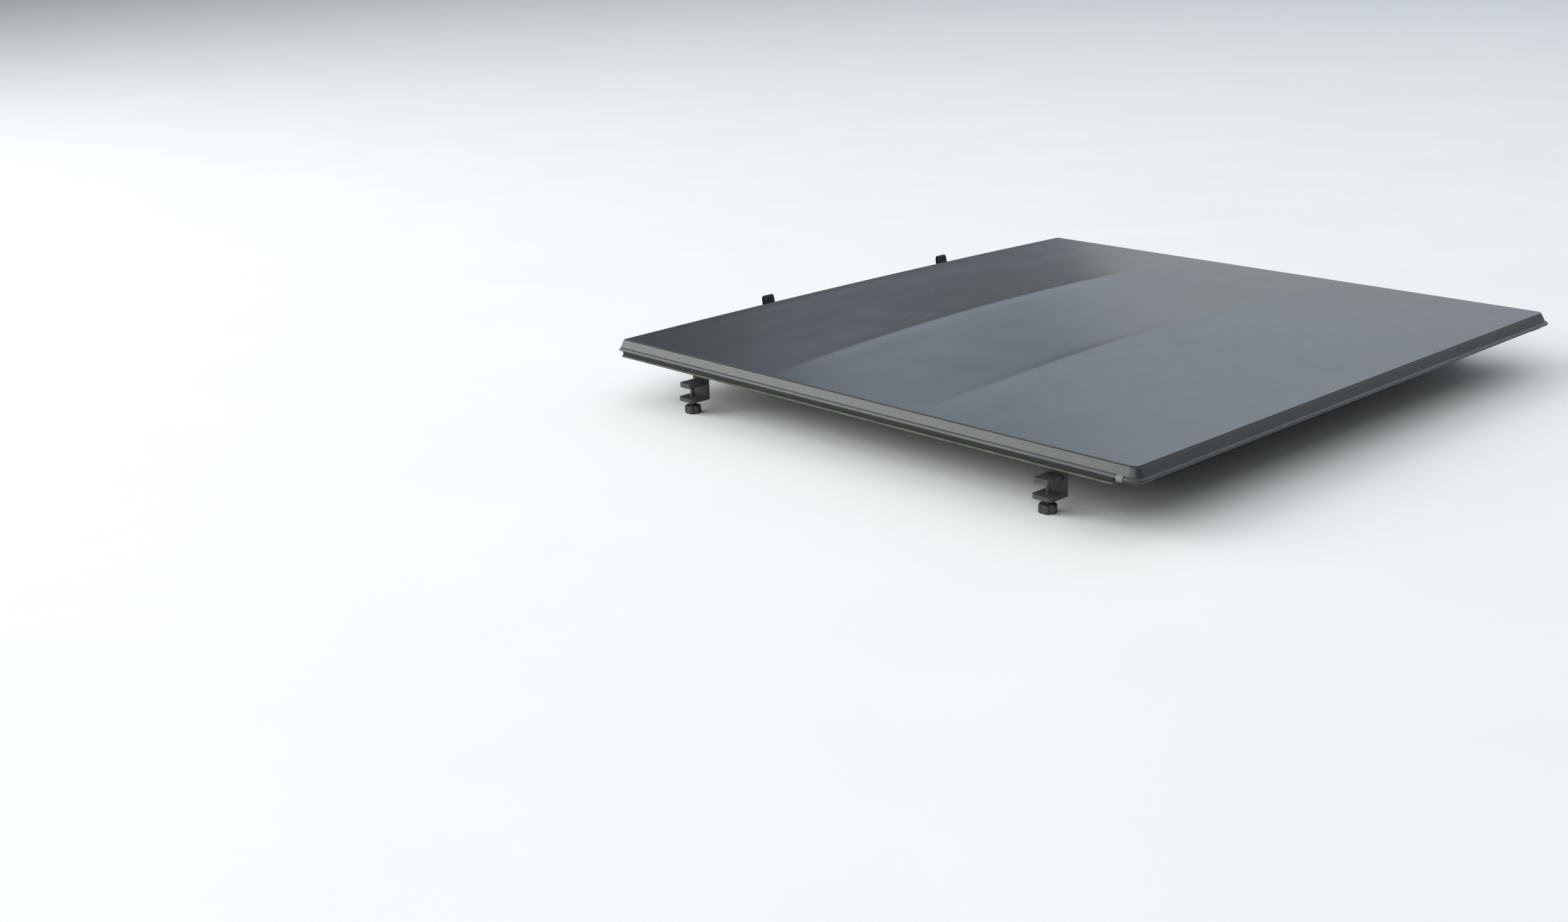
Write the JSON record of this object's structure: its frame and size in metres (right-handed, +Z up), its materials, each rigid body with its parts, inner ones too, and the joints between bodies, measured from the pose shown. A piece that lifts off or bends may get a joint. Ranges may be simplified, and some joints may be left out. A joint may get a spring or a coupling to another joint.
{
  "type": "tonneau cover",
  "caption": "Soft roll-up tonneau cover for a short pickup bed, with side rails, arched support bows, a rolling sheet and screw clamps.",
  "frame": {"origin": "centre of the cover on the plane of the bed rails that it rests on", "axes": "+X to the truck's right, +Y towards the cab, +Z up"},
  "size_m": [1.5192, 1.3739, 0.1575],
  "materials": {
    "vinyl_sheet": "semi-matt grained vinyl",
    "vinyl_trim": "semi-matt grained vinyl over a formed strip",
    "hook_tape": "hook tape",
    "seal_rubber": "matt",
    "black_rail": "black anodised, satin",
    "bow_aluminium": "mill",
    "cast_bracket": "black powder coat over cast aluminium",
    "black_plastic": "moulded, fine texture",
    "zinc_screw": "zinc plated",
    "webbing": "woven polyester webbing"
  },
  "bodies": {
    "bed_frame": {"bow_seats_left": "black_plastic", "bow_seats_right": "black_plastic", "buckle_body_left": "black_plastic", "buckle_body_right": "black_plastic", "bulkhead_seal": "seal_rubber", "clamp_bracket_front_left": "cast_bracket", "clamp_bracket_front_right": "cast_bracket", "clamp_bracket_rear_left": "cast_bracket", "clamp_bracket_rear_right": "cast_bracket", "corner_screws": "zinc_screw", "edge_trim_left": "vinyl_trim", "edge_trim_right": "vinyl_trim", "front_flap": "vinyl_sheet", "front_sheet": "vinyl_sheet", "header_bar": "black_rail", "header_corner_left": "cast_bracket", "header_corner_right": "cast_bracket", "hook_tape_left": "hook_tape", "hook_tape_right": "hook_tape", "rail_seal_left": "seal_rubber", "rail_seal_right": "seal_rubber", "side_rail_left": "black_rail", "side_rail_right": "black_rail", "stow_strap_left": "webbing", "stow_strap_right": "webbing"},
    "roll_01": {"sheet_01": "vinyl_sheet"},
    "roll_02": {"sheet_02": "vinyl_sheet"},
    "roll_03": {"sheet_03": "vinyl_sheet", "bow_front": "bow_aluminium", "bow_front_caps": "black_plastic"},
    "roll_04": {"sheet_04": "vinyl_sheet"},
    "roll_05": {"sheet_05": "vinyl_sheet"},
    "roll_06": {"sheet_06": "vinyl_sheet"},
    "roll_07": {"sheet_07": "vinyl_sheet"},
    "roll_08": {"sheet_08": "vinyl_sheet", "bow_rear": "bow_aluminium", "bow_rear_caps": "black_plastic"},
    "roll_09": {"sheet_09": "vinyl_sheet"},
    "roll_10": {"sheet_10": "vinyl_sheet"},
    "roll_11": {"sheet_11": "vinyl_sheet"},
    "roll_12": {"sheet_12": "vinyl_sheet"},
    "roll_13": {"sheet_13": "vinyl_sheet"},
    "roll_14": {"sheet_14": "vinyl_sheet"},
    "roll_15": {"sheet_15": "vinyl_sheet"},
    "roll_16": {"rear_sheet": "vinyl_sheet", "rear_edge_trim": "vinyl_trim", "rear_bar": "black_rail", "rear_block_left": "black_plastic", "rear_block_right": "black_plastic", "tail_seal": "seal_rubber"},
    "jaw_front_left": {"clamp_jaw_front_left": "cast_bracket"},
    "knob_front_left": {"clamp_knob_front_left": "black_plastic"},
    "jaw_front_right": {"clamp_jaw_front_right": "cast_bracket"},
    "knob_front_right": {"clamp_knob_front_right": "black_plastic"},
    "jaw_rear_left": {"clamp_jaw_rear_left": "cast_bracket"},
    "knob_rear_left": {"clamp_knob_rear_left": "black_plastic"},
    "jaw_rear_right": {"clamp_jaw_rear_right": "cast_bracket"},
    "knob_rear_right": {"clamp_knob_rear_right": "black_plastic"},
    "tongue_left": {"buckle_tongue_left": "black_plastic"},
    "tongue_right": {"buckle_tongue_right": "black_plastic"}
  },
  "joints": [
    {"name": "roll_fold_01", "type": "hinge", "parent": "bed_frame", "child": "roll_01", "pos_m": [0, 0.43836, 0.05608], "axis": [-1, 0, 0], "range_deg": [0, 51.43]},
    {"name": "roll_fold_02", "type": "hinge", "parent": "roll_01", "child": "roll_02", "pos_m": [0, 0.34629, 0.06054], "axis": [-1, 0, 0], "range_deg": [0, 51.43]},
    {"name": "roll_fold_03", "type": "hinge", "parent": "roll_02", "child": "roll_03", "pos_m": [0, 0.25662, 0.06489], "axis": [-1, 0, 0], "range_deg": [0, 51.43]},
    {"name": "roll_fold_04", "type": "hinge", "parent": "roll_03", "child": "roll_04", "pos_m": [0, 0.16935, 0.06605], "axis": [-1, 0, 0], "range_deg": [0, 51.43]},
    {"name": "roll_fold_05", "type": "hinge", "parent": "roll_04", "child": "roll_05", "pos_m": [0, 0.0845, 0.06421], "axis": [-1, 0, 0], "range_deg": [0, 51.43]},
    {"name": "roll_fold_06", "type": "hinge", "parent": "roll_05", "child": "roll_06", "pos_m": [0, 0.00206, 0.06243], "axis": [-1, 0, 0], "range_deg": [0, 51.43]},
    {"name": "roll_fold_07", "type": "hinge", "parent": "roll_06", "child": "roll_07", "pos_m": [0, -0.07798, 0.06069], "axis": [-1, 0, 0], "range_deg": [0, 51.43]},
    {"name": "roll_fold_08", "type": "hinge", "parent": "roll_07", "child": "roll_08", "pos_m": [0, -0.15561, 0.05901], "axis": [-1, 0, 0], "range_deg": [0, 51.43]},
    {"name": "roll_fold_09", "type": "hinge", "parent": "roll_08", "child": "roll_09", "pos_m": [0, -0.23083, 0.0562], "axis": [-1, 0, 0], "range_deg": [0, 51.43]},
    {"name": "roll_fold_10", "type": "hinge", "parent": "roll_09", "child": "roll_10", "pos_m": [0, -0.29943, 0.05316], "axis": [-1, 0, 0], "range_deg": [0, 51.43]},
    {"name": "roll_fold_11", "type": "hinge", "parent": "roll_10", "child": "roll_11", "pos_m": [0, -0.36665, 0.05018], "axis": [-1, 0, 0], "range_deg": [0, 51.43]},
    {"name": "roll_fold_12", "type": "hinge", "parent": "roll_11", "child": "roll_12", "pos_m": [0, -0.4283, 0.04745], "axis": [-1, 0, 0], "range_deg": [0, 51.43]},
    {"name": "roll_fold_13", "type": "hinge", "parent": "roll_12", "child": "roll_13", "pos_m": [0, -0.48435, 0.04497], "axis": [-1, 0, 0], "range_deg": [0, 51.43]},
    {"name": "roll_fold_14", "type": "hinge", "parent": "roll_13", "child": "roll_14", "pos_m": [0, -0.53482, 0.04273], "axis": [-1, 0, 0], "range_deg": [0, 51.43]},
    {"name": "roll_fold_15", "type": "hinge", "parent": "roll_14", "child": "roll_15", "pos_m": [0, -0.5797, 0.04074], "axis": [-1, 0, 0], "range_deg": [0, 51.43]},
    {"name": "roll_fold_16", "type": "hinge", "parent": "roll_15", "child": "roll_16", "pos_m": [0, -0.619, 0.039], "axis": [-1, 0, 0], "range_deg": [0, 51.43]},
    {"name": "jaw_travel_front_left", "type": "slide", "parent": "bed_frame", "child": "jaw_front_left", "axis": [0, 0, 1], "range_m": [0, 0.0075]},
    {"name": "knob_turn_front_left", "type": "hinge", "parent": "jaw_front_left", "child": "knob_front_left", "pos_m": [-0.727, 0.47, -0.0745], "axis": [0, 0, 1], "range_deg": [0, 2160.1]},
    {"name": "jaw_travel_front_right", "type": "slide", "parent": "bed_frame", "child": "jaw_front_right", "axis": [0, 0, 1], "range_m": [0, 0.0075]},
    {"name": "knob_turn_front_right", "type": "hinge", "parent": "jaw_front_right", "child": "knob_front_right", "pos_m": [0.727, 0.47, -0.0745], "axis": [0, 0, 1], "range_deg": [0, 2160.1]},
    {"name": "jaw_travel_rear_left", "type": "slide", "parent": "bed_frame", "child": "jaw_rear_left", "axis": [0, 0, 1], "range_m": [0, 0.0075]},
    {"name": "knob_turn_rear_left", "type": "hinge", "parent": "jaw_rear_left", "child": "knob_rear_left", "pos_m": [-0.727, -0.47, -0.0745], "axis": [0, 0, 1], "range_deg": [0, 2160.1]},
    {"name": "jaw_travel_rear_right", "type": "slide", "parent": "bed_frame", "child": "jaw_rear_right", "axis": [0, 0, 1], "range_m": [0, 0.0075]},
    {"name": "knob_turn_rear_right", "type": "hinge", "parent": "jaw_rear_right", "child": "knob_rear_right", "pos_m": [0.727, -0.47, -0.0745], "axis": [0, 0, 1], "range_deg": [0, 2160.1]},
    {"name": "buckle_release_left", "type": "slide", "parent": "bed_frame", "child": "tongue_left", "axis": [0, -1, 0], "range_m": [0, 0.03]},
    {"name": "buckle_release_right", "type": "slide", "parent": "bed_frame", "child": "tongue_right", "axis": [0, -1, 0], "range_m": [0, 0.03]}
  ],
  "couplings": [
    {"joint": "knob_turn_front_left", "follows": "jaw_travel_front_left", "rad_per_m": 5026.5},
    {"joint": "knob_turn_front_right", "follows": "jaw_travel_front_right", "rad_per_m": 5026.5},
    {"joint": "knob_turn_rear_left", "follows": "jaw_travel_rear_left", "rad_per_m": 5026.5},
    {"joint": "knob_turn_rear_right", "follows": "jaw_travel_rear_right", "rad_per_m": 5026.5}
  ]
}
